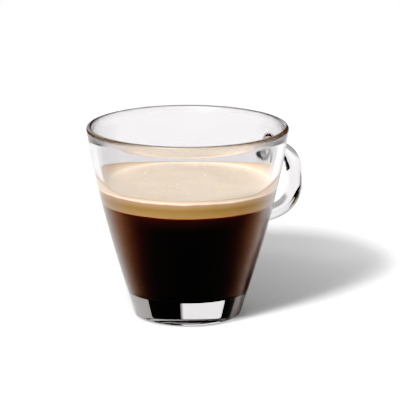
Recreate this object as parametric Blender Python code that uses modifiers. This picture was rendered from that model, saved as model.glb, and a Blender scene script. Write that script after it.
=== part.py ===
# Double espresso in its clear glass cup: the cup with its ear handle, the
# coffee and the crema on it. Metres, +Z up, handle along +X, and the origin
# is on the cup's axis at the height of the table.

import math

import bpy
import bmesh
from mathutils import Matrix, Vector

# Cup, of pressed glass
RIM_RADIUS = 0.0400
CUP_HEIGHT = 0.0768
FOOT_RADIUS = 0.0209
FOOT_FLARE = 0.327  # how far the side leans out, per metre of height, at the foot
RIM_FLARE = 0.141  # the same at the rim
WALL_AT_RIM = 0.0026
WALL_AT_FLOOR = 0.0030
FLOOR_THICKNESS = 0.0103
HEEL_ROUND = 0.0020
INNER_CORNER_ROUND = 0.0040

# Handle, a strap with an oval section
HANDLE_WIDTH = 0.0080
HANDLE_THICKNESS = 0.0060
HANDLE_REACH = 0.0500  # from the cup's axis to the middle of the strap
HANDLE_TOP = 0.0635
HANDLE_MIDDLE = 0.0494
HANDLE_BOTTOM = 0.0360
HANDLE_TOP_RUN = 0.0085  # how long the strap keeps its direction at each point
HANDLE_MIDDLE_RUN = 0.0100
HANDLE_BOTTOM_RUN = 0.0140
HANDLE_ROOT_SWELL = 1.12  # the strap's girth where it meets the wall

# Drink
COFFEE_LEVEL = 0.0468
CREMA_LEVEL = 0.0535
MENISCUS_RISE = 0.0008  # how far the foam climbs the wall
MENISCUS_REACH = 0.0016  # how fast that climb fades towards the middle

GAP = 0.0003  # between solids that touch
TURN_STEPS = 64
RIM_STEPS = 8
CORNER_STEPS = 5
WALL_STEPS = 9
HANDLE_STEPS = 12
MERGE_DISTANCE = 0.00001

MENISCUS_SPAN = 2.5 * MENISCUS_REACH
RIM_ROUND = WALL_AT_RIM / 2
SIDE_HEIGHT = CUP_HEIGHT - RIM_ROUND


def clear_scene():
    for obj in list(bpy.data.objects):
        bpy.data.objects.remove(obj, do_unlink=True)


def new_collection(name):
    collection = bpy.data.collections.new(name)
    bpy.context.scene.collection.children.link(collection)
    return collection


def principled(name, colour, roughness, transmission=0.0, ior=1.5):
    material = bpy.data.materials.new(name)
    material.use_nodes = True
    shader = material.node_tree.nodes["Principled BSDF"]
    shader.inputs["Base Color"].default_value = (*colour, 1.0)
    shader.inputs["Roughness"].default_value = roughness
    shader.inputs["Metallic"].default_value = 0.0
    shader.inputs["Transmission Weight"].default_value = transmission
    shader.inputs["IOR"].default_value = ior
    return material


# The side's outline is one smooth cubic from the foot to the rim, set by its
# two radii and the two slopes at its ends.
def outer_radius(z):
    t = z / SIDE_HEIGHT
    foot = (2 * t**3 - 3 * t**2 + 1) * FOOT_RADIUS
    foot += (t**3 - 2 * t**2 + t) * SIDE_HEIGHT * FOOT_FLARE
    rim = (3 * t**2 - 2 * t**3) * RIM_RADIUS
    rim += (t**3 - t**2) * SIDE_HEIGHT * RIM_FLARE
    return foot + rim


def outer_slope(z):
    step = 0.0001
    return (outer_radius(z + step) - outer_radius(z - step)) / (2 * step)


def inner_radius(z):
    up = (z - FLOOR_THICKNESS) / (SIDE_HEIGHT - FLOOR_THICKNESS)
    wall = WALL_AT_FLOOR + (WALL_AT_RIM - WALL_AT_FLOOR) * up
    return outer_radius(z) - wall * math.sqrt(1 + outer_slope(z) ** 2)


def spread(start, end, count):
    return [start + (end - start) * i / count for i in range(count + 1)]


# Points of the arc that touches both lines meeting at a corner.
def rounded_corner(before, corner, after, radius):
    corner = Vector(corner)
    first = (Vector(before) - corner).normalized()
    second = (Vector(after) - corner).normalized()
    half = first.angle(second) / 2
    middle = corner + (first + second).normalized() * (radius / math.sin(half))
    start = corner + first * (radius / math.tan(half)) - middle
    turn = start.angle_signed(corner + second * (radius / math.tan(half)) - middle)
    points = []
    for angle in spread(0.0, turn, CORNER_STEPS):
        arm = start.copy()
        arm.rotate(Matrix.Rotation(-angle, 2))
        points.append(tuple(middle + arm))
    return points


def inner_side(start_z, end_z, inset=0.0):
    heights = spread(start_z, end_z, WALL_STEPS)
    return [(inner_radius(z) - inset, z) for z in heights]


# Floor, rounded corner and inner wall, seen from inside, from the axis outwards.
def bowl_profile(floor_z, top_z, inset=0.0):
    corner = (inner_radius(floor_z) - inset, floor_z)
    above_z = floor_z + 2 * INNER_CORNER_ROUND
    above = (inner_radius(above_z) - inset, above_z)
    arc = rounded_corner((0.0, floor_z), corner, above, INNER_CORNER_ROUND)
    return [(0.0, floor_z)] + arc + inner_side(above_z, top_z, inset)


def rim_profile():
    tilt = math.atan(RIM_FLARE)
    centre = RIM_RADIUS - RIM_ROUND
    points = []
    for angle in spread(math.pi - tilt, -tilt, RIM_STEPS):
        r = centre + RIM_ROUND * math.cos(angle)
        points.append((r, SIDE_HEIGHT + RIM_ROUND * math.sin(angle)))
    return points


def glass_profile():
    tilt_rise = RIM_ROUND * math.sin(math.atan(RIM_FLARE))
    inside = bowl_profile(FLOOR_THICKNESS, SIDE_HEIGHT + tilt_rise)
    heights = spread(SIDE_HEIGHT - tilt_rise, 2 * HEEL_ROUND, WALL_STEPS + 2)
    outside = [(outer_radius(z), z) for z in heights]
    heel = rounded_corner(outside[-1], (outer_radius(0.0), 0.0), (0.0, 0.0), HEEL_ROUND)
    return inside[:-1] + rim_profile() + outside[1:] + heel + [(0.0, 0.0)]


def coffee_profile():
    top_z = COFFEE_LEVEL - GAP / 2
    return [(0.0, top_z)] + bowl_profile(FLOOR_THICKNESS + GAP, top_z, GAP)[::-1]


# The foam's top climbs a little where it clings to the glass.
def crema_profile():
    bottom_z = COFFEE_LEVEL + GAP / 2
    edge = inner_radius(CREMA_LEVEL) - GAP
    top = []
    for i in range(CORNER_STEPS + 1):
        away = MENISCUS_SPAN * i / CORNER_STEPS
        rise = MENISCUS_RISE * math.exp(-away / MENISCUS_REACH)
        top.append((edge - away, CREMA_LEVEL + rise))
    centre = [(0.0, top[-1][1])]
    top[0] = (inner_radius(top[0][1]) - GAP, top[0][1])
    side_heights = spread(CREMA_LEVEL, bottom_z, 3)
    side = [(inner_radius(z) - GAP, z) for z in side_heights]
    return centre + top[::-1] + side + [(0.0, bottom_z)]


def turned(name, profile, collection, material):
    mesh = bpy.data.meshes.new(name)
    corners = [(r, 0.0, z) for r, z in profile]
    edges = [(i, i + 1) for i in range(len(profile) - 1)]
    mesh.from_pydata(corners, edges, [])
    obj = bpy.data.objects.new(name, mesh)
    collection.objects.link(obj)
    screw = obj.modifiers.new("Turn", "SCREW")
    screw.axis = "Z"
    screw.steps = TURN_STEPS
    screw.render_steps = TURN_STEPS
    screw.use_merge_vertices = True
    screw.merge_threshold = MERGE_DISTANCE
    screw.use_smooth_shade = True
    obj.data.materials.append(material)
    return obj


def handle_curve(collection):
    curve = bpy.data.curves.new("handle path", "CURVE")
    curve.dimensions = "3D"
    curve.bevel_depth = HANDLE_THICKNESS / 2
    curve.bevel_resolution = 4
    curve.use_fill_caps = True
    curve.resolution_u = HANDLE_STEPS
    top_r = outer_radius(HANDLE_TOP) - WALL_AT_RIM / 2
    bottom_r = outer_radius(HANDLE_BOTTOM) - WALL_AT_FLOOR / 2
    top_run = Vector((HANDLE_TOP_RUN, 0.0, 0.0))
    middle_run = Vector((0.0, 0.0, -HANDLE_MIDDLE_RUN))
    bottom_run = Vector((-HANDLE_BOTTOM_RUN, 0.0, 0.0))
    stations = [
        (Vector((top_r, 0.0, HANDLE_TOP)), top_run, HANDLE_ROOT_SWELL),
        (Vector((HANDLE_REACH, 0.0, HANDLE_MIDDLE)), middle_run, 1.0),
        (Vector((bottom_r, 0.0, HANDLE_BOTTOM)), bottom_run, HANDLE_ROOT_SWELL),
    ]
    spline = curve.splines.new("BEZIER")
    spline.bezier_points.add(len(stations) - 1)
    for point, (place, run, swell) in zip(spline.bezier_points, stations):
        point.handle_left_type = "FREE"
        point.handle_right_type = "FREE"
        point.co = place
        point.handle_left = place - run
        point.handle_right = place + run
        point.radius = swell
    obj = bpy.data.objects.new("handle path", curve)
    collection.objects.link(obj)
    return obj


# The round tube becomes a mesh and is widened across the cup to an oval strap.
def handle_solid(collection):
    path = handle_curve(collection)
    bpy.context.view_layer.update()
    evaluated = path.evaluated_get(bpy.context.evaluated_depsgraph_get())
    mesh = bpy.data.meshes.new_from_object(evaluated)
    mesh.transform(Matrix.Scale(HANDLE_WIDTH / HANDLE_THICKNESS, 4, Vector((0.0, 1.0, 0.0))))
    cage = bmesh.new()
    cage.from_mesh(mesh)
    bmesh.ops.remove_doubles(cage, verts=cage.verts, dist=MERGE_DISTANCE)
    cage.to_mesh(mesh)
    cage.free()
    obj = bpy.data.objects.new("handle strap", mesh)
    obj.matrix_world = path.matrix_world
    collection.objects.link(obj)
    bpy.data.objects.remove(path, do_unlink=True)
    obj.hide_render = True
    obj.display_type = "WIRE"
    return obj


def make_glass(collection, cutters):
    clear = principled("clear pressed glass", (0.96, 0.97, 0.97), 0.02, 1.0)
    glass = turned("glass", glass_profile(), collection, clear)
    union = glass.modifiers.new("Handle", "BOOLEAN")
    union.operation = "UNION"
    union.object = handle_solid(cutters)
    return glass


def make_coffee(collection):
    dark = principled("black coffee", (0.012, 0.005, 0.003), 0.05, 0.0, 1.33)
    return turned("coffee", coffee_profile(), collection, dark)


def make_crema(collection):
    foam = principled("coffee crema", (0.80, 0.68, 0.54), 0.6)
    return turned("crema", crema_profile(), collection, foam)


def main():
    clear_scene()
    parts = new_collection("double espresso")
    cutters = new_collection("shapes joined in")
    make_glass(parts, cutters)
    make_coffee(parts)
    make_crema(parts)


main()
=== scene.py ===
import math

import bpy
import numpy as np
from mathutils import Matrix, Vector


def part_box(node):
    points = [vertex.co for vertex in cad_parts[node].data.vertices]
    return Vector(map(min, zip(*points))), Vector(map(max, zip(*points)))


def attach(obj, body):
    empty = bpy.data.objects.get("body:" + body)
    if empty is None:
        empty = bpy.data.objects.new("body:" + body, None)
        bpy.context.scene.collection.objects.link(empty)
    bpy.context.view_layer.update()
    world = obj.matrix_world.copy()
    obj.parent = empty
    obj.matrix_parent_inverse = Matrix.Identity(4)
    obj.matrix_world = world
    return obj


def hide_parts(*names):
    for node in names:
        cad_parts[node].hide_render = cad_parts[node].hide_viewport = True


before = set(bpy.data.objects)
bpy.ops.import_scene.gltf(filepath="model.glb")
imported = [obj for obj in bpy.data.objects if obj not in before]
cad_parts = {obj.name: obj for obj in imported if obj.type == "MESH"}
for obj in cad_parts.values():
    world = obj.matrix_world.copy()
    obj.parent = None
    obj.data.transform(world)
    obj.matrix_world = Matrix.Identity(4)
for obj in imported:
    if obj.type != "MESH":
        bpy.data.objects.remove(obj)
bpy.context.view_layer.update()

# Double espresso in its clear glass cup. Metres, +Z up, the handle along +X,
# and the cup's axis is the Z axis.

print("double espresso: frame loaded")
_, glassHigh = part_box("glass")
_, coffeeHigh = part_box("coffee")
cremaLow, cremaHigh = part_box("crema")
mm = 0.001
tiny = 1e-12   # keeps a division by a length of nothing safe


# tools for meshes and nodes

def fromHex(text):   # an sRGB hex colour as the linear values that a shader takes
    srgb = np.array([int(text[i:i + 2], 16) for i in (1, 3, 5)]) / 255
    linear = np.where(srgb <= 0.04045, srgb / 12.92, ((srgb + 0.055) / 1.055) ** 2.4)
    return (*linear.tolist(), 1.0)


def fromLevel(level):   # a neutral grey of that linear level
    return (level, level, level, 1.0)


# a node of the given kind: settings are its properties, values its inputs, and
# links names an input and the (node, output) that feeds it
def addNode(tree, kind, settings=None, values=None, links=None):
    node = tree.nodes.new(kind)
    for name, value in (settings or {}).items():
        setattr(node, name, value)
    for name, value in (values or {}).items():
        node.inputs[name].default_value = value
    for name, (source, output) in (links or {}).items():
        tree.links.new(source.outputs[output], node.inputs[name])
    return node


def newMaterial(name):
    material = bpy.data.materials.new(name)
    material.use_nodes = True
    material.node_tree.nodes.clear()
    return material, material.node_tree


def setRamp(node, stops):
    ramp = node.color_ramp
    while len(ramp.elements) < len(stops):
        ramp.elements.new(0.5)
    for element, (place, colour) in zip(ramp.elements, stops):
        element.position = place
        element.color = colour


# the share of a point's direction from the cup's axis that lies towards the turn:
# 1 on that side, 0 at right angles to it and -1 on the far side
def sideShare(tree, place, turn):
    flat = addNode(tree, "ShaderNodeVectorMath", {"operation": "MULTIPLY"},
                   values={1: (1, 1, 0)}, links={0: (place, "Object")})
    outward = addNode(tree, "ShaderNodeVectorMath", {"operation": "NORMALIZE"},
                      links={0: (flat, 0)})
    return addNode(tree, "ShaderNodeVectorMath", {"operation": "DOT_PRODUCT"},
                   values={1: (math.cos(turn), math.sin(turn), 0)}, links={0: (outward, 0)})


# one mesh object from whole arrays of points and faces, smooth all over
def meshObject(name, points, quads, triangles, material):
    mesh = bpy.data.meshes.new(name)
    corners = np.concatenate([quads.ravel(), triangles.ravel()]).astype(np.int32)
    sizes = np.concatenate([np.full(len(quads), 4), np.full(len(triangles), 3)])
    starts = np.concatenate([[0], np.cumsum(sizes)[:-1]]).astype(np.int32)
    mesh.vertices.add(len(points))
    mesh.vertices.foreach_set("co", points.astype(np.float32).ravel())
    mesh.loops.add(len(corners))
    mesh.loops.foreach_set("vertex_index", corners)
    mesh.polygons.add(len(sizes))
    mesh.polygons.foreach_set("loop_start", starts)
    mesh.polygons.foreach_set("use_smooth", np.ones(len(sizes), bool))
    mesh.update(calc_edges=True)
    mesh.validate()
    mesh.materials.append(material)
    obj = bpy.data.objects.new(name, mesh)
    bpy.context.scene.collection.objects.link(obj)
    return obj


# Faces of a closed shape made of rows of points round a line, with one more point
# after them for each end: quads between the rows and a fan to each end point.
def wrapFaces(rows, count):
    row, column = np.meshgrid(np.arange(rows - 1), np.arange(count), indexing="ij")
    ahead = (column + 1) % count
    quads = np.stack([row * count + column, (row + 1) * count + column,
                      (row + 1) * count + ahead, row * count + ahead], axis=-1).reshape(-1, 4)
    around = np.arange(count)
    nextOne = (around + 1) % count
    last = (rows - 1) * count
    firstEnd, lastEnd = np.full(count, rows * count), np.full(count, rows * count + 1)
    triangles = np.concatenate([np.stack([firstEnd, around, nextOne], axis=-1),
                                np.stack([last + nextOne, last + around, lastEnd], axis=-1)])
    return quads, triangles


# A closed turned shape. The profile's rows are (radius, height), from a point on
# the axis to another one, and each inner row is carried round the axis:
# x = radius * cos(angle), y = radius * sin(angle), z = height.
def turnedArrays(profile, angles):
    rings, count = profile[1:-1], len(angles)
    radius, height = rings[:, :1], rings[:, 1:]
    ringPoints = np.stack([radius * np.cos(angles), radius * np.sin(angles),
                           np.broadcast_to(height, (len(rings), count))], axis=-1)
    poles = np.array([[0, 0, profile[0, 1]], [0, 0, profile[-1, 1]]])
    points = np.concatenate([ringPoints.reshape(-1, 3), poles])
    return points, *wrapFaces(len(rings), count)


# points of the arc that touches both lines meeting at a corner
def roundedCorner(before, corner, after, radius, count):
    before, corner, after = (np.array(p, float) for p in (before, corner, after))
    first = (before - corner) / np.linalg.norm(before - corner)
    second = (after - corner) / np.linalg.norm(after - corner)
    half = math.acos(np.clip(first @ second, -1, 1)) / 2
    bisector = (first + second) / np.linalg.norm(first + second)
    middle = corner + bisector * radius / math.sin(half)
    start = corner + first * radius / math.tan(half) - middle
    end = corner + second * radius / math.tan(half) - middle
    whole = math.acos(np.clip(start @ end / radius ** 2, -1, 1))
    part = np.linspace(0, 1, count)[:, None]
    arm = (np.sin((1 - part) * whole) * start + np.sin(part * whole) * end) / math.sin(whole)
    return middle + arm


# cup: clear pressed soda-lime glass, one piece with its handle

cup = {
    "rimRadius": glassHigh.y,
    "height": glassHigh.z,
    "footRadius": 20.9 * mm,
    "footFlare": 0.327,        # lean of the side at the foot, metres out per metre up
    "rimFlare": 0.141,         # the same at the rim
    "wallAtRim": 2.6 * mm,
    "wallAtFloor": 3.0 * mm,
    "floorThickness": 10.3 * mm,
    "rimTaper": 0.45 * mm,     # how much thinner the wall gets inside, up to the rim
    "taperHeight": 3.0 * mm,
    "taperSoftness": 0.12,     # the taper sets in over this part of its height
    "heelRound": 2.0 * mm,
    "innerCornerRound": 4.0 * mm,
    "wallRows": 120,
    "innerRows": 140,
    "floorRows": 9,
    "underRows": 7,
    "cornerPoints": 10,
    "rimPoints": 25,
    "coarseTurn": math.radians(1.5),
    "fineTurn": math.radians(0.55),   # near the handle
    "fineHalfWidth": math.radians(16),
    "rubbed": (4.5 * mm, 0.8 * mm),   # how far under the top the dullness sets in, and is full
    "rubbedRoughness": 0.36,
    "slantPassed": ((0.0, 0.96), (0.6, 0.92), (1.0, 0.32)),   # light let through, by slant
    "farTurn": math.radians(30),   # towards the side away from the lamp
    "farPassed": 0.34,         # how much of that light the wall there sends straight on
    "farSoftness": 0.35,       # the cosine over which it sets in
}
handle = {
    "width": 8.0 * mm,
    "thickness": 6.0 * mm,
    "reach": glassHigh.x - 3.0 * mm,   # the strap's middle, from the cup's axis
    "top": 63.5 * mm,
    "middle": 49.4 * mm,
    "bottom": 36.0 * mm,
    "topRun": 8.5 * mm,
    "middleRun": 10.0 * mm,
    "bottomRun": 14.0 * mm,
    "fillet": 5.0 * mm,        # how far the strap and the wall melt together
    "alongRows": 60,
    "sectionPoints": 48,
    "rootsFromAxis": 20 * mm,  # the roots' points lie farther out than this
    "rootsHalfWidth": 13 * mm,
    "skinDepth": 0.06 * mm,    # a point this near to a surface belongs to it
    "meltRounds": 8,
}
rimRound = cup["wallAtRim"] / 2
sideHeight = cup["height"] - rimRound


# The side is one cubic between foot and rim, set by both radii and both slopes.
def outerRadius(z):
    t = z / sideHeight
    foot = (2 * t**3 - 3 * t**2 + 1) * cup["footRadius"]
    foot = foot + (t**3 - 2 * t**2 + t) * sideHeight * cup["footFlare"]
    rim = (3 * t**2 - 2 * t**3) * cup["rimRadius"]
    return foot + rim + (t**3 - t**2) * sideHeight * cup["rimFlare"]


def outerSlope(z):
    step = 0.1 * mm
    return (outerRadius(z + step) - outerRadius(z - step)) / (2 * step)


# the wall's thickness runs from floor to rim in a straight line
def innerRadius(z):
    up = (z - cup["floorThickness"]) / (sideHeight - cup["floorThickness"])
    wall = cup["wallAtFloor"] + (cup["wallAtRim"] - cup["wallAtFloor"]) * up
    return outerRadius(z) - wall * np.sqrt(1 + outerSlope(z) ** 2)


def sideRows(radiusAt, start, end, count, grow=0.0):
    heights = np.linspace(start, end, count)
    return np.stack([radiusAt(heights) + grow, heights], axis=-1)


def flatRows(start, end, z, count):
    return np.stack([np.linspace(start, end, count), np.full(count, z)], axis=-1)


# floor, rounded corner and wall, from the axis outwards; grow reaches into the glass
def bowlProfile(topZ, rows, grow=0.0):
    floorZ = cup["floorThickness"] - grow
    aboveZ = floorZ + 2 * cup["innerCornerRound"]
    corner = (innerRadius(floorZ) + grow, floorZ)
    above = (innerRadius(aboveZ) + grow, aboveZ)
    arc = roundedCorner((0, floorZ), corner, above, cup["innerCornerRound"] + grow,
                        cup["cornerPoints"])
    wall = sideRows(innerRadius, arc[-1, 1], topZ, rows, grow)
    return np.concatenate([flatRows(0, arc[0, 0], floorZ, cup["floorRows"])[:-1], arc, wall[1:]])


# The rim is half an ellipse between the two sides, met where its slope is theirs.
def glassProfile():
    halfWidth = rimRound - cup["rimTaper"] / 2
    innerFlare = cup["rimFlare"] + cup["rimTaper"] / cup["taperHeight"]
    innerTilt = math.atan(innerFlare * rimRound / halfWidth)
    outerTilt = math.atan(cup["rimFlare"] * rimRound / halfWidth)
    inside = bowlProfile(sideHeight + rimRound * math.sin(innerTilt), cup["innerRows"])
    above = (inside[:, 1] - (sideHeight - cup["taperHeight"])) / cup["taperHeight"]
    inside[:, 0] += cup["rimTaper"] * (np.sqrt(above**2 + cup["taperSoftness"]**2) + above) / 2
    turn = np.linspace(math.pi - innerTilt, -outerTilt, cup["rimPoints"])
    rim = np.stack([cup["rimRadius"] - halfWidth + halfWidth * np.cos(turn),
                    sideHeight + rimRound * np.sin(turn)], axis=-1)
    outside = sideRows(outerRadius, sideHeight - rimRound * math.sin(outerTilt),
                       2 * cup["heelRound"], cup["wallRows"])
    heel = roundedCorner(outside[-1], (outerRadius(0.0), 0), (0, 0), cup["heelRound"],
                         cup["cornerPoints"])
    under = flatRows(heel[-1, 0], 0, 0, cup["underRows"])
    return np.concatenate([inside[:-1], rim, outside[1:], heel, under[1:]])


# fine steps round the handle, coarse ones elsewhere
def turnAngles():
    fineCount = round(2 * cup["fineHalfWidth"] / cup["fineTurn"])
    coarseCount = round((2 * math.pi - 2 * cup["fineHalfWidth"]) / cup["coarseTurn"])
    fine = np.linspace(-cup["fineHalfWidth"], cup["fineHalfWidth"], fineCount, endpoint=False)
    coarse = np.linspace(cup["fineHalfWidth"], 2 * math.pi - cup["fineHalfWidth"], coarseCount,
                         endpoint=False)
    return np.concatenate([fine, coarse])


# The handle's middle line: two cubic Bezier stretches in the plane y = 0, level
# where they leave the wall and upright at the far point.
def handleLine():
    start = np.array([outerRadius(handle["top"]) - cup["wallAtRim"] / 2, handle["top"]])
    middle = np.array([handle["reach"], handle["middle"]])
    end = np.array([outerRadius(handle["bottom"]) - cup["wallAtFloor"] / 2, handle["bottom"]])
    t = np.linspace(0, 1, handle["alongRows"])[:, None]

    def stretch(a, b, c, d):
        return (1 - t)**3 * a + 3 * (1 - t)**2 * t * b + 3 * (1 - t) * t**2 * c + t**3 * d

    upper = stretch(start, start + (handle["topRun"], 0),
                    middle + (0, handle["middleRun"]), middle)
    lower = stretch(middle, middle - (0, handle["middleRun"]),
                    end + (handle["bottomRun"], 0), end)
    return np.concatenate([upper, lower[1:]])


def tangents(line):
    along = np.gradient(line, axis=0)
    return along / np.linalg.norm(along, axis=1, keepdims=True)


# An oval section carried along the middle line: the point at angle a is
# line + normal * thickness / 2 * cos(a) + side * width / 2 * sin(a).
def handleArrays():
    line = handleLine()
    along = tangents(line)
    normal = np.stack([-along[:, 1], along[:, 0]], axis=-1)
    angle = np.linspace(0, 2 * math.pi, handle["sectionPoints"], endpoint=False)
    out = handle["thickness"] / 2 * np.cos(angle)
    side = handle["width"] / 2 * np.sin(angle)
    x = line[:, :1] + normal[:, :1] * out
    z = line[:, 1:] + normal[:, 1:] * out
    y = np.broadcast_to(side, x.shape)
    ends = np.array([[line[0, 0], 0, line[0, 1]], [line[-1, 0], 0, line[-1, 1]]])
    points = np.concatenate([np.stack([x, y, z], axis=-1).reshape(-1, 3), ends])
    return points, *wrapFaces(*x.shape)


# signed distance to the strap: the nearest point of the middle line gives the
# offset in its plane, and the oval's own distance follows from it
def strapDistance(points):
    line = handleLine()
    flat = points[:, [0, 2]]
    gap = flat[:, None, :] - line[None]
    nearest = np.argmin((gap**2).sum(-1), axis=1)
    offset = gap[np.arange(len(flat)), nearest]
    tangent = tangents(line)[nearest]
    out = -tangent[:, 1] * offset[:, 0] + tangent[:, 0] * offset[:, 1]
    a, b = handle["thickness"] / 2, handle["width"] / 2
    reach = np.sqrt((out / a)**2 + (points[:, 1] / b)**2)
    steep = np.sqrt((out / a**2)**2 + (points[:, 1] / b**2)**2) + tiny
    return reach * (reach - 1) / steep


def sideDistance(points):
    radius = np.hypot(points[:, 0], points[:, 1])
    z = points[:, 2]
    return (radius - outerRadius(z)) / np.sqrt(1 + outerSlope(z)**2)


# Both distances melted together: their smaller one, less the square of how near
# they are to each other, which fills the corner between strap and wall.
def meltedDistance(points):
    a, b = sideDistance(points), strapDistance(points)
    near = np.maximum(handle["fillet"] - np.abs(a - b), 0) / handle["fillet"]
    return np.minimum(a, b) - near**2 * handle["fillet"] / 4


def meltedSlope(points):
    step = 0.02 * mm
    slope = np.empty_like(points)
    for axis in range(3):
        nudge = np.zeros(3)
        nudge[axis] = step
        rise = meltedDistance(points + nudge) - meltedDistance(points - nudge)
        slope[:, axis] = rise / (2 * step)
    return slope


# moves the outer skin near the handle's roots onto the melted surface
def meltRoots(mesh):
    points = np.empty(len(mesh.vertices) * 3, np.float32)
    mesh.vertices.foreach_get("co", points)
    points = points.reshape(-1, 3).astype(float)
    toSide, toStrap = np.ones(len(points)), np.ones(len(points))   # far off, until measured
    near = ((points[:, 0] > handle["rootsFromAxis"])
            & (np.abs(points[:, 1]) < handle["rootsHalfWidth"]))
    toSide[near] = sideDistance(points[near])
    toStrap[near] = strapDistance(points[near])
    skin = near & (np.minimum(np.abs(toSide), np.abs(toStrap)) < handle["skinDepth"])
    skin &= np.minimum(toSide, toStrap) > -handle["skinDepth"]
    skin &= np.abs(toSide - toStrap) < handle["fillet"]
    moving = points[skin]
    for _ in range(handle["meltRounds"]):
        slope = meltedSlope(moving)
        length = (slope**2).sum(1, keepdims=True) + tiny
        moving = moving - slope * (meltedDistance(moving)[:, None] / length)
    points[skin] = moving
    mesh.vertices.foreach_set("co", points.astype(np.float32).ravel())
    normals = np.zeros_like(points)
    slope = meltedSlope(moving)
    normals[skin] = slope / np.linalg.norm(slope, axis=1, keepdims=True)
    mesh.update()
    mesh.normals_split_custom_set_from_vertices(normals.tolist())
    return int(skin.sum())


# Clear pressed soda-lime glass: fire-polished, so it is smooth, with a faint
# ripple from the mould and a rim that is rubbed a little dull. Light that makes a
# shadow, or that the foam scatters, goes straight through it, less what glass takes
# away at a slant, and the wall far from the lamp spreads more of it.
def glassMaterial():
    material, tree = newMaterial("clearSodaLimeGlass")
    place = addNode(tree, "ShaderNodeTexCoord")
    ripple = addNode(tree, "ShaderNodeTexNoise", values={"Scale": 90.0, "Detail": 1.0},
                     links={"Vector": (place, "Object")})   # ripples about 11 mm apart
    bump = addNode(tree, "ShaderNodeBump", values={"Strength": 0.25, "Distance": 0.05 * mm},
                   links={"Height": (ripple, 0)})
    split = addNode(tree, "ShaderNodeSeparateXYZ", links={"Vector": (place, "Object")})
    start, full = cup["rubbed"]
    worn = addNode(tree, "ShaderNodeMapRange",
                   values={"From Min": cup["height"] - start, "From Max": cup["height"] - full,
                           "To Max": cup["rubbedRoughness"]}, links={"Value": (split, "Z")})
    glass = addNode(tree, "ShaderNodeBsdfPrincipled",
                    values={"Base Color": fromHex("#e4e2e3"), "IOR": 1.5,
                            "Transmission Weight": 1.0},
                    links={"Normal": (bump, 0), "Roughness": (worn, 0)})
    slant = addNode(tree, "ShaderNodeLayerWeight", values={"Blend": 0.5})
    shade = addNode(tree, "ShaderNodeValToRGB", links={"Fac": (slant, "Facing")})
    setRamp(shade, [(stop, fromLevel(level)) for stop, level in cup["slantPassed"]])
    far = sideShare(tree, place, cup["farTurn"])
    spread = addNode(tree, "ShaderNodeMapRange",
                     values={"From Max": cup["farSoftness"], "To Min": 1.0,
                             "To Max": cup["farPassed"]}, links={"Value": (far, "Value")})
    passed = addNode(tree, "ShaderNodeVectorMath", {"operation": "SCALE"},
                     links={0: (shade, 0), "Scale": (spread, 0)})
    through = addNode(tree, "ShaderNodeBsdfTransparent", links={"Color": (passed, 0)})
    ray = addNode(tree, "ShaderNodeLightPath")
    either = addNode(tree, "ShaderNodeMath", {"operation": "MAXIMUM"},
                     links={0: (ray, "Is Shadow Ray"), 1: (ray, "Is Diffuse Ray")})
    mix = addNode(tree, "ShaderNodeMixShader",
                  links={0: (either, 0), 1: (glass, 0), 2: (through, 0)})
    addNode(tree, "ShaderNodeOutputMaterial", links={"Surface": (mix, 0)})
    return material


def makeGlass():
    material = glassMaterial()
    body = meshObject("glassCup", *turnedArrays(glassProfile(), turnAngles()), material)
    strap = meshObject("handleStrap", *handleArrays(), material)
    union = body.modifiers.new("handle", "BOOLEAN")
    union.operation = "UNION"
    union.solver = "MANIFOLD"
    union.object = strap
    bpy.context.view_layer.update()
    evaluated = body.evaluated_get(bpy.context.evaluated_depsgraph_get())
    joined = bpy.data.meshes.new_from_object(evaluated)
    body.modifiers.clear()
    body.data = joined
    bpy.data.objects.remove(strap)
    moved = meltRoots(joined)
    print("glass:", len(joined.polygons), "faces,", moved, "points in the handle's roots")
    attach(body, "root")
    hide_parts("glass")


makeGlass()


# coffee: black coffee, up to the crema

coffee = {
    "level": (coffeeHigh.z + cremaLow.z) / 2,
    "intoWall": 0.15 * mm,     # reaches into the glass, so that no air shows between them
    "paintedGlowTurn": math.radians(-30),   # the two sides painted with a brown glow, which stands in for light through the coffee
    "paintedGlowFade": 1.35,
    "paintedGlowDepth": 30 * mm,     # over this depth under the foam the painted glow on the flanks fades
    "paintedGlowLow": 0.55,
    "paintedFoamLightDepth": 7 * mm,       # painted light on the coffee's top, standing in for light the foam sends down
    "glow": 0.42,
    # the coffee's own near-black, then the browns of the painted glow and painted foam light
    "coffeeAndPaintedGlowBrowns": ((0.0, "#1f150f"), (0.35, "#432e1f"), (1.0, "#6a452b")),
    "rows": 70,
    "segments": 220,
}
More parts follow.
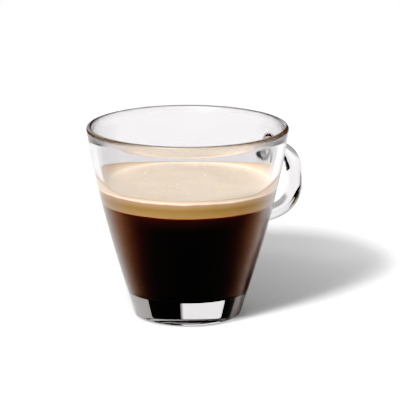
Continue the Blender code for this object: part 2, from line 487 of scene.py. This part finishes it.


# Black coffee: opaque at this depth, a very dark brown. Painted light turns it reddish at
# its two flanks, by the angle round the cup, and in the layer under the foam.
def coffeeMaterial():
    material, tree = newMaterial("blackCoffee")
    place = addNode(tree, "ShaderNodeTexCoord")
    split = addNode(tree, "ShaderNodeSeparateXYZ", links={"Vector": (place, "Object")})
    up = addNode(tree, "ShaderNodeMapRange",
                 values={"From Min": coffee["level"] - coffee["paintedGlowDepth"],
                         "From Max": coffee["level"]}, links={"Value": (split, "Z")})
    # painted glow: brown light painted on the coffee's two flanks, by their angle round the cup
    across = sideShare(tree, place, coffee["paintedGlowTurn"])
    paintedGlowSide = addNode(tree, "ShaderNodeMath", {"operation": "MULTIPLY"},
                    links={0: (across, "Value"), 1: (across, "Value")})
    steep = addNode(tree, "ShaderNodeMath", {"operation": "POWER"},
                    values={1: coffee["paintedGlowFade"]}, links={0: (paintedGlowSide, 0)})
    thin = addNode(tree, "ShaderNodeMapRange", values={"To Min": coffee["paintedGlowLow"]},
                   links={"Value": (up, 0)})
    share = addNode(tree, "ShaderNodeMath", {"operation": "MULTIPLY"},
                    links={0: (steep, 0), 1: (thin, 0)})
    # painted light from the foam, browner towards the coffee's top
    under = addNode(tree, "ShaderNodeMapRange",
                    values={"From Min": coffee["level"] - coffee["paintedFoamLightDepth"],
                            "From Max": coffee["level"], "To Max": coffee["glow"]},
                    links={"Value": (split, "Z")})
    # the stronger of the two painted lights sets how brown the coffee is painted
    most = addNode(tree, "ShaderNodeMath", {"operation": "MAXIMUM"},
                   links={0: (share, 0), 1: (under, 0)})
    brown = addNode(tree, "ShaderNodeValToRGB", links={"Fac": (most, 0)})
    setRamp(brown, [(stop, fromHex(colour)) for stop, colour in coffee["coffeeAndPaintedGlowBrowns"]])
    shader = addNode(tree, "ShaderNodeBsdfPrincipled",
                     values={"Roughness": 0.12, "IOR": 1.33, "Specular IOR Level": 0.1},
                     links={"Base Color": (brown, 0)})
    addNode(tree, "ShaderNodeOutputMaterial", links={"Surface": (shader, 0)})
    return material


def makeCoffee():
    bowl = bowlProfile(coffee["level"], coffee["rows"], coffee["intoWall"])
    profile = np.concatenate([[[0.0, coffee["level"]]], bowl[::-1]])
    angles = np.linspace(0, 2 * math.pi, coffee["segments"], endpoint=False)
    drink = meshObject("blackCoffee", *turnedArrays(profile, angles), coffeeMaterial())
    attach(drink, "root")
    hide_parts("coffee")
    print("coffee:", len(drink.data.polygons), "faces")


makeCoffee()


# crema: fine coffee foam

crema = {
    "level": cremaHigh.z - 0.8 * mm,
    "bottom": coffee["level"],
    "climb": 0.8 * mm,         # how far it climbs the wall
    "climbReach": 1.6 * mm,    # how fast that fades inwards
    "swell": 0.10 * mm,        # slow unevenness of the top
    "swellWaves": 9,
    "swellLengths": (8, 26),   # in mm
    "calmEdge": 2 * mm,        # the swell fades out over this at the wall
    "film": 0.9 * mm,          # foam left on the wall above the top, at its lowest
    "filmTide": 6.0 * mm,      # how much higher it reaches on two sides
    "filmTurn": math.radians(60),   # towards the low place at the back
    "filmEnd": 2.35,           # radians from there to where the tide has run out
    "filmFade": 0.9,           # radians over which it does
    "filmThickness": 0.35 * mm,
    "filmThinning": 0.8,
    "filmRows": 24,
    "raggedWaves": (3, 5, 8, 13, 21),
    "raggedHeight": 0.25 * mm,
    "raggedTide": 0.15,
    "topRows": 120,
    "topCrowding": 1.6,        # the rows lie closer together towards the wall
    "rowsLeftOut": 8,          # those next to the wall, where the film begins
    "sideRows": 30,
    "underRows": 9,
    "segments": 240,
    "wander": 0.4 * mm,        # how far the colours stray up and down
    "colours": ((0.0, "#85563a"), (0.06, "#a87e5e"), (0.45, "#90704f"),
                (0.76, "#b58b6c"), (0.84, "#fee6ca"), (1.0, "#ffeed9")),
    "streaks": 0.11,
    "pits": 0.06,
    "wetColour": "#a8763f",
    "driedColour": "#b07f4c",
    "tideTan": 0.75,           # how much the film's edge has dried
    "wetSide": 0.45,           # the least of that on its side towards the glass
    "bubbleCount": 80,
    "bubbleSize": (0.15 * mm, 0.50 * mm),
    "bubbleSmallness": 3,      # most are near the smaller size
    "bubbleFromWall": 1.2 * mm,
    "bubbleCrowding": 2.6,     # more of them lie near the wall
    "bubbleSpread": 0.9,
    "bubbleFlatness": 0.75,
    "bubbleLift": 0.05,        # of the bubble's size
    "bubbleSides": 14,
    "bubbleSlopes": (8, 30, 52, 74, 96, 118, 140, 160),   # its rings, degrees from the top
    "swellSeed": 7,
    "bubbleSeed": 11,
}
cremaEdge = innerRadius(crema["level"]) + coffee["intoWall"]


# slow waves over the top: a sum of plane waves of random direction and phase
def cremaSwell(x, y):
    random = np.random.default_rng(crema["swellSeed"])
    total = np.zeros_like(x)
    for _ in range(crema["swellWaves"]):
        turn = random.uniform(0, 2 * math.pi)
        length = random.uniform(*crema["swellLengths"]) * mm
        along = x * math.cos(turn) + y * math.sin(turn)
        total += np.sin(along * 2 * math.pi / length + random.uniform(0, 2 * math.pi))
    return total / math.sqrt(crema["swellWaves"])


# Crema: an opaque foam of fine bubbles, cream on top where it is dry, tan to brown
# down its side where it is wet against the glass, and tan where a thin film of it
# dries on the wall.
def cremaMaterial():
    material, tree = newMaterial("coffeeCrema")
    place = addNode(tree, "ShaderNodeTexCoord")
    split = addNode(tree, "ShaderNodeSeparateXYZ", links={"Vector": (place, "Object")})
    patches = addNode(tree, "ShaderNodeTexNoise", values={"Scale": 160.0, "Detail": 3.0},
                      links={"Vector": (place, "Object")})
    wander = addNode(tree, "ShaderNodeMapRange",
                     values={"To Min": -crema["wander"], "To Max": crema["wander"]},
                     links={"Value": (patches, 0)})
    height = addNode(tree, "ShaderNodeMath", {"operation": "ADD"},
                     links={0: (split, "Z"), 1: (wander, 0)})
    up = addNode(tree, "ShaderNodeMapRange",
                 values={"From Min": crema["bottom"], "From Max": cremaHigh.z},
                 links={"Value": (height, 0)})
    colour = addNode(tree, "ShaderNodeValToRGB", links={"Fac": (up, 0)})
    setRamp(colour, [(stop, fromHex(text)) for stop, text in crema["colours"]])
    drift = addNode(tree, "ShaderNodeTexNoise",
                    values={"Scale": 110.0, "Detail": 4.0, "Roughness": 0.6, "Distortion": 1.2},
                    links={"Vector": (place, "Object")})   # streaks about 9 mm apart
    streaks = addNode(tree, "ShaderNodeMapRange",
                      values={"From Min": 0.48, "From Max": 0.75, "To Max": crema["streaks"]},
                      links={"Value": (drift, 0)})
    bubbles = addNode(tree, "ShaderNodeTexVoronoi", values={"Scale": 2200.0},
                      links={"Vector": (place, "Object")})   # bubbles about 0.45 mm across
    pits = addNode(tree, "ShaderNodeMapRange",
                   values={"From Min": 0.35, "From Max": 0.75, "To Max": crema["pits"]},
                   links={"Value": (bubbles, "Distance")})
    wet = addNode(tree, "ShaderNodeMath", {"operation": "ADD", "use_clamp": True},
                  links={0: (streaks, 0), 1: (pits, 0)})
    tinted = addNode(tree, "ShaderNodeMix", {"data_type": "RGBA"},
                     values={"B": fromHex(crema["wetColour"])},
                     links={"Factor": (wet, 0), "A": (colour, 0)})
    upFilm = addNode(tree, "ShaderNodeAttribute", {"attribute_name": "filmShare"})
    tide = addNode(tree, "ShaderNodeMapRange", values={"To Max": crema["tideTan"]},
                   links={"Value": (upFilm, "Fac")})
    dried = addNode(tree, "ShaderNodeMix", {"data_type": "RGBA"},
                    values={"B": fromHex(crema["driedColour"])},
                    links={"Factor": (tide, 0), "A": (tinted, "Result")})
    bump = addNode(tree, "ShaderNodeBump", values={"Strength": 0.35, "Distance": 0.06 * mm},
                   links={"Height": (bubbles, "Distance")})
    shader = addNode(tree, "ShaderNodeBsdfPrincipled",
                     values={"Roughness": 0.5, "IOR": 1.35, "Subsurface Weight": 0.35,
                             "Subsurface Scale": 1.5 * mm, "Subsurface Radius": (1.0, 0.6, 0.3)},
                     links={"Base Color": (dried, "Result"), "Normal": (bump, 0)})
    addNode(tree, "ShaderNodeOutputMaterial", links={"Surface": (shader, 0)})
    return material


# The film's height over the foam by the angle round the cup: low at the back and in
# front, high on the two sides between, and ragged all round.
def filmHeight(angles):
    turn = angles - crema["filmTurn"]
    away = np.abs((turn + math.pi) % (2 * math.pi) - math.pi)
    share = np.clip((crema["filmEnd"] - away) / crema["filmFade"], 0, 1)
    tide = crema["filmTide"] * (1 - np.cos(turn)) * share**2 * (3 - 2 * share)
    ragged = sum(np.sin(angles * n + n * n) / n for n in crema["raggedWaves"]) / 4
    return (crema["film"] + tide * (1 + crema["raggedTide"] * ragged)
            + crema["raggedHeight"] * ragged)


# the film's points on one side: share runs up it, inset is the way in from the wall
def filmPoints(angles, share, startZ, inset):
    z = startZ + share[:, None] * (crema["level"] + filmHeight(angles) - startZ)
    radius = innerRadius(z) - inset[:, None]
    return np.stack([radius * np.cos(angles), radius * np.sin(angles), z], axis=-1)


def cremaTop(radius):
    return crema["level"] + crema["climb"] * np.exp(-(cremaEdge - radius) / crema["climbReach"])


# The top is turned, with a slow swell. The film's two sides are placed angle by
# angle, and each of its points keeps how far up the film it lies.
def makeCrema():
    angles = np.linspace(0, 2 * math.pi, crema["segments"], endpoint=False)
    inwards = 1 - np.linspace(0, 1, crema["topRows"]) ** crema["topCrowding"]
    radius = (cremaEdge * inwards[::-1])[:-crema["rowsLeftOut"]]
    top = np.stack([radius, cremaTop(radius)], axis=-1)
    film = np.zeros((2 * crema["filmRows"], 2))
    side = sideRows(innerRadius, crema["level"], crema["bottom"], crema["sideRows"],
                    coffee["intoWall"])
    under = flatRows(side[-1, 0], 0, crema["bottom"], crema["underRows"])[1:]
    profile = np.concatenate([top, film, side, under])
    points, quads, triangles = turnedArrays(profile, angles)
    onTop = points[:, 2] >= crema["level"]
    fromEdge = cremaEdge - np.hypot(points[:, 0], points[:, 1])
    calm = np.clip(fromEdge / crema["calmEdge"], 0, 1)
    points[:, 2] += onTop * calm * crema["swell"] * cremaSwell(points[:, 0], points[:, 1])

    share = np.linspace(0, 1, crema["filmRows"])
    inner = filmPoints(angles, share, top[-1, 1],
                       crema["filmThickness"] * (1 - crema["filmThinning"] * share))
    outer = filmPoints(angles, share[::-1], crema["level"],
                       np.full(len(share), -coffee["intoWall"]))
    first = (len(top) - 1) * len(angles)
    placed = slice(first, first + len(film) * len(angles))
    points[placed] = np.concatenate([inner, outer]).reshape(-1, 3)
    upFilm = np.zeros(len(points), np.float32)
    byRow = np.concatenate([share, np.maximum(share[::-1], crema["wetSide"])])
    upFilm[placed] = np.repeat(byRow, len(angles))

    material = cremaMaterial()
    foam = meshObject("coffeeCrema", points, quads, triangles, material)
    foam.data.attributes.new("filmShare", "FLOAT", "POINT").data.foreach_set("value", upFilm)
    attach(foam, "root")
    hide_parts("crema")
    print("crema:", len(foam.data.polygons), "faces")
    makeBubbles(material)


# A few larger bubbles on the foam, most of them near the wall: each is a flattened
# ball, sunk to just under its middle.
def makeBubbles(material):
    random = np.random.default_rng(crema["bubbleSeed"])
    count, sides = crema["bubbleCount"], crema["bubbleSides"]
    turn = random.uniform(0, 2 * math.pi, count)
    inwards = random.uniform(0, 1, count) ** crema["bubbleCrowding"] * crema["bubbleSpread"]
    radius = (cremaEdge - crema["bubbleFromWall"]) * (1 - inwards)
    low, high = crema["bubbleSize"]
    size = low + (high - low) * random.uniform(0, 1, count) ** crema["bubbleSmallness"]
    ring = np.linspace(0, 2 * math.pi, sides, endpoint=False)
    slopes = np.radians(crema["bubbleSlopes"])[:, None]
    height = np.broadcast_to(np.cos(slopes), (len(slopes), sides))
    rings = np.stack([np.sin(slopes) * np.cos(ring), np.sin(slopes) * np.sin(ring), height],
                     axis=-1).reshape(-1, 3)
    ball = np.concatenate([rings, [[0, 0, 1], [0, 0, -1]]]) * (1, 1, crema["bubbleFlatness"])
    quads, caps = wrapFaces(len(slopes), sides)
    centre = np.stack([radius * np.cos(turn), radius * np.sin(turn),
                       cremaTop(radius) + crema["bubbleLift"] * size], axis=-1)
    points = (centre[:, None] + ball[None] * size[:, None, None]).reshape(-1, 3)
    offset = (np.arange(count) * len(ball))[:, None, None]
    domes = meshObject("cremaBubbles", points, (quads[None] + offset).reshape(-1, 4),
                       (caps[None] + offset).reshape(-1, 3), material)
    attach(domes, "root")
    print("bubbles:", len(domes.data.polygons), "faces")


makeCrema()


# floor, light and camera

studio = {
    "turn": math.radians(-30),     # the camera's place round the cup, from the -Y side
    "floorRadius": 0.4,
    "floorSides": 96,
    "floorDrop": 0.2 * mm,         # so that the floor and the cup's foot don't touch
    "floorColour": "#ebebeb",
    "lampPower": 156.0,
    "lampSize": 30 * mm,
    "lampPlace": (-0.084, -0.19, 0.25),   # right, away and up, as the camera sees it
    "fillPower": 0.125,
    "fillSize": 20 * mm,
    "fillPlace": (0.14, 0.09, 0.065),
    "sky": 0.56,
    "sideSky": 0.12,
    "horizon": (0.02, -0.02),      # heights of a direction between which the room changes
    "ceilingFrom": (0.5, 0.34),
    "toneCurve": ((0.085, 0.002), (0.11, 0.012), (0.135, 0.04),
                  (0.165, 0.085), (0.235, 0.22), (0.43, 0.44)),
    "bounces": 20,
    "clearBounces": 24,
    "distance": 1.1,
    "cameraHeight": 0.3158,
    "aimRight": 4.9 * mm,
    "aimHeight": 46.4 * mm,
    "lens": 256.8,
    "sensor": 36.0,
    "clip": (0.05, 50.0),
}


def toModel(right, away, up):   # from the camera's own axes to the model's
    c, s = math.cos(studio["turn"]), math.sin(studio["turn"])
    return (right * c - away * s, right * s + away * c, up)


def makeFloor():
    material, tree = newMaterial("mattWhitePaper")
    place = addNode(tree, "ShaderNodeTexCoord")
    grain = addNode(tree, "ShaderNodeTexNoise", values={"Scale": 900.0},
                    links={"Vector": (place, "Object")})
    bump = addNode(tree, "ShaderNodeBump", values={"Strength": 0.05, "Distance": 0.05 * mm},
                   links={"Height": (grain, 0)})
    shader = addNode(tree, "ShaderNodeBsdfPrincipled",
                     values={"Base Color": fromHex(studio["floorColour"]), "Roughness": 0.9,
                             "Specular IOR Level": 0.1},
                     links={"Normal": (bump, 0)})
    addNode(tree, "ShaderNodeOutputMaterial", links={"Surface": (shader, 0)})
    sides = studio["floorSides"]
    angles = np.linspace(0, 2 * math.pi, sides, endpoint=False)
    rim = np.stack([np.cos(angles), np.sin(angles), np.zeros(sides)], axis=-1)
    points = np.concatenate([rim * studio["floorRadius"], [[0, 0, 0]]])
    points[:, 2] -= studio["floorDrop"]
    around = np.arange(sides)
    fan = np.stack([around, (around + 1) % sides, np.full(sides, sides)], axis=-1)
    floor = meshObject("studioFloor", points, np.zeros((0, 4), int), fan, material)


# A bright room with dark stretches near the horizon, which the thick glass shows
# as dark patches, others below it, past the floor's edge, and a ceiling that is dim
# at the sides. Directions are turned to the camera's axes first.
def makeWorld():
    world = bpy.data.worlds.new("studio")
    bpy.context.scene.world = world
    world.use_nodes = True
    tree = world.node_tree
    tree.nodes.clear()
    place = addNode(tree, "ShaderNodeTexCoord")
    turned = addNode(tree, "ShaderNodeVectorRotate", {"rotation_type": "Z_AXIS"},
                     values={"Angle": -studio["turn"]}, links={"Vector": (place, "Generated")})
    split = addNode(tree, "ShaderNodeSeparateXYZ", links={"Vector": (turned, 0)})
    around = addNode(tree, "ShaderNodeMath", {"operation": "ARCTAN2"},
                     links={0: (split, "X"), 1: (split, "Y")})   # 0 ahead, positive to the right
    part = addNode(tree, "ShaderNodeMapRange", values={"From Min": -math.pi, "From Max": math.pi},
                   links={"Value": (around, 0)})

    def sectorRamp(stops):   # stops by degrees to the right of straight ahead
        ramp = addNode(tree, "ShaderNodeValToRGB", links={"Fac": (part, 0)})
        setRamp(ramp, [(0.5 + degrees / 360, colour) for degrees, colour in stops])
        return ramp

    def byHeight(heights, below, above):   # one of two colours, by a direction's height
        change = addNode(tree, "ShaderNodeMapRange",
                         values={"From Min": heights[0], "From Max": heights[1]},
                         links={"Value": (split, "Z")})
        return addNode(tree, "ShaderNodeMix", {"data_type": "RGBA"},
                       links={"Factor": (change, 0), "A": above, "B": below})

    bright, dark = fromLevel(1.05), fromLevel(0.01)
    grey, dusk = (0.42, 0.40, 0.39, 1.0), (0.17, 0.16, 0.15, 1.0)
    room = sectorRamp([
        (-180, bright), (-75, bright), (-70, dusk), (-42, dusk), (-40, dark), (-28, dark),
        (-27, bright), (3.5, bright), (4.5, dark), (30, dark), (31, grey), (70, grey),
        (72, bright), (180, bright)])
    pastFloor = sectorRamp([
        (-180, bright), (-85, bright), (-75, dark), (-16, dark), (-13, bright),
        (13, bright), (16, dark), (75, dark), (85, bright), (180, bright)])
    full, dim = fromLevel(studio["sky"]), fromLevel(studio["sideSky"])
    ceiling = sectorRamp([
        (-180, full), (-125, full), (-105, dim), (-50, dim), (-35, full),
        (35, full), (50, dim), (105, dim), (125, full), (180, full)])
    lower = byHeight(studio["horizon"], (pastFloor, 0), (room, 0))
    colour = byHeight(studio["ceilingFrom"], (lower, "Result"), (ceiling, 0))
    ray = addNode(tree, "ShaderNodeLightPath")
    seen = addNode(tree, "ShaderNodeBackground", values={"Color": (1, 1, 1, 1)})
    lit = addNode(tree, "ShaderNodeBackground", values={"Strength": 1.0},
                  links={"Color": (colour, "Result")})
    mix = addNode(tree, "ShaderNodeMixShader",
                  links={0: (ray, "Is Camera Ray"), 1: (lit, 0), 2: (seen, 0)})
    addNode(tree, "ShaderNodeOutputWorld", links={"Surface": (mix, 0)})


def newLamp(name, power, size, place):
    light = bpy.data.lights.new(name, "POINT")
    light.energy = power
    light.shadow_soft_size = size
    lamp = bpy.data.objects.new(name, light)
    bpy.context.scene.collection.objects.link(lamp)
    lamp.location = toModel(*place)
    return lamp


# A small lamp near the cup, so that the shadow spreads. Its strength grows with
# distance cubed, which lights the flat floor evenly: cubed / squared * height / distance.
def makeLamp():
    lamp = newLamp("keyLamp", studio["lampPower"], studio["lampSize"], studio["lampPlace"])
    lamp.data.use_nodes = True
    tree = lamp.data.node_tree
    tree.nodes.clear()
    even = addNode(tree, "ShaderNodeLightFalloff", values={"Strength": 1.0})
    grows = addNode(tree, "ShaderNodeMath", {"operation": "MULTIPLY"},
                    links={0: (even, "Linear"), 1: (even, "Constant")})
    glow = addNode(tree, "ShaderNodeEmission", links={"Strength": (grows, 0)})
    addNode(tree, "ShaderNodeOutputLight", links={"Surface": (glow, 0)})


# A weak lamp beside the shadow's far end, which makes it lighter there.
def makeFill():
    lamp = newLamp("fillLamp", studio["fillPower"], studio["fillSize"], studio["fillPlace"])
    lamp.visible_camera = False
    lamp.visible_glossy = False
    lamp.visible_transmission = False


def makeCamera():
    camera = bpy.data.objects.new("camera", bpy.data.cameras.new("camera"))
    bpy.context.scene.collection.objects.link(camera)
    camera.data.sensor_width = studio["sensor"]
    camera.data.lens = studio["lens"]
    camera.data.clip_start, camera.data.clip_end = studio["clip"]
    place = Vector(toModel(0.0, -studio["distance"], studio["cameraHeight"]))
    aim = Vector(toModel(studio["aimRight"], 0.0, studio["aimHeight"]))
    camera.location = place
    camera.rotation_euler = (aim - place).to_track_quat("-Z", "Y").to_euler()
    bpy.context.scene.camera = camera


makeFloor()
makeWorld()
makeLamp()
makeFill()
makeCamera()

scene = bpy.context.scene
scene.view_settings.view_transform = "Standard"
scene.view_settings.use_curve_mapping = True
curve = scene.view_settings.curve_mapping.curves[3]   # deep blacks and full whites
for place, value in studio["toneCurve"]:
    curve.points.new(place, value).handle_type = "AUTO_CLAMPED"
scene.view_settings.curve_mapping.update()
scene.cycles.caustics_refractive = False
scene.cycles.caustics_reflective = False
scene.cycles.max_bounces = studio["bounces"]
scene.cycles.transmission_bounces = studio["bounces"]
scene.cycles.transparent_max_bounces = studio["clearBounces"]
print("stage ready")
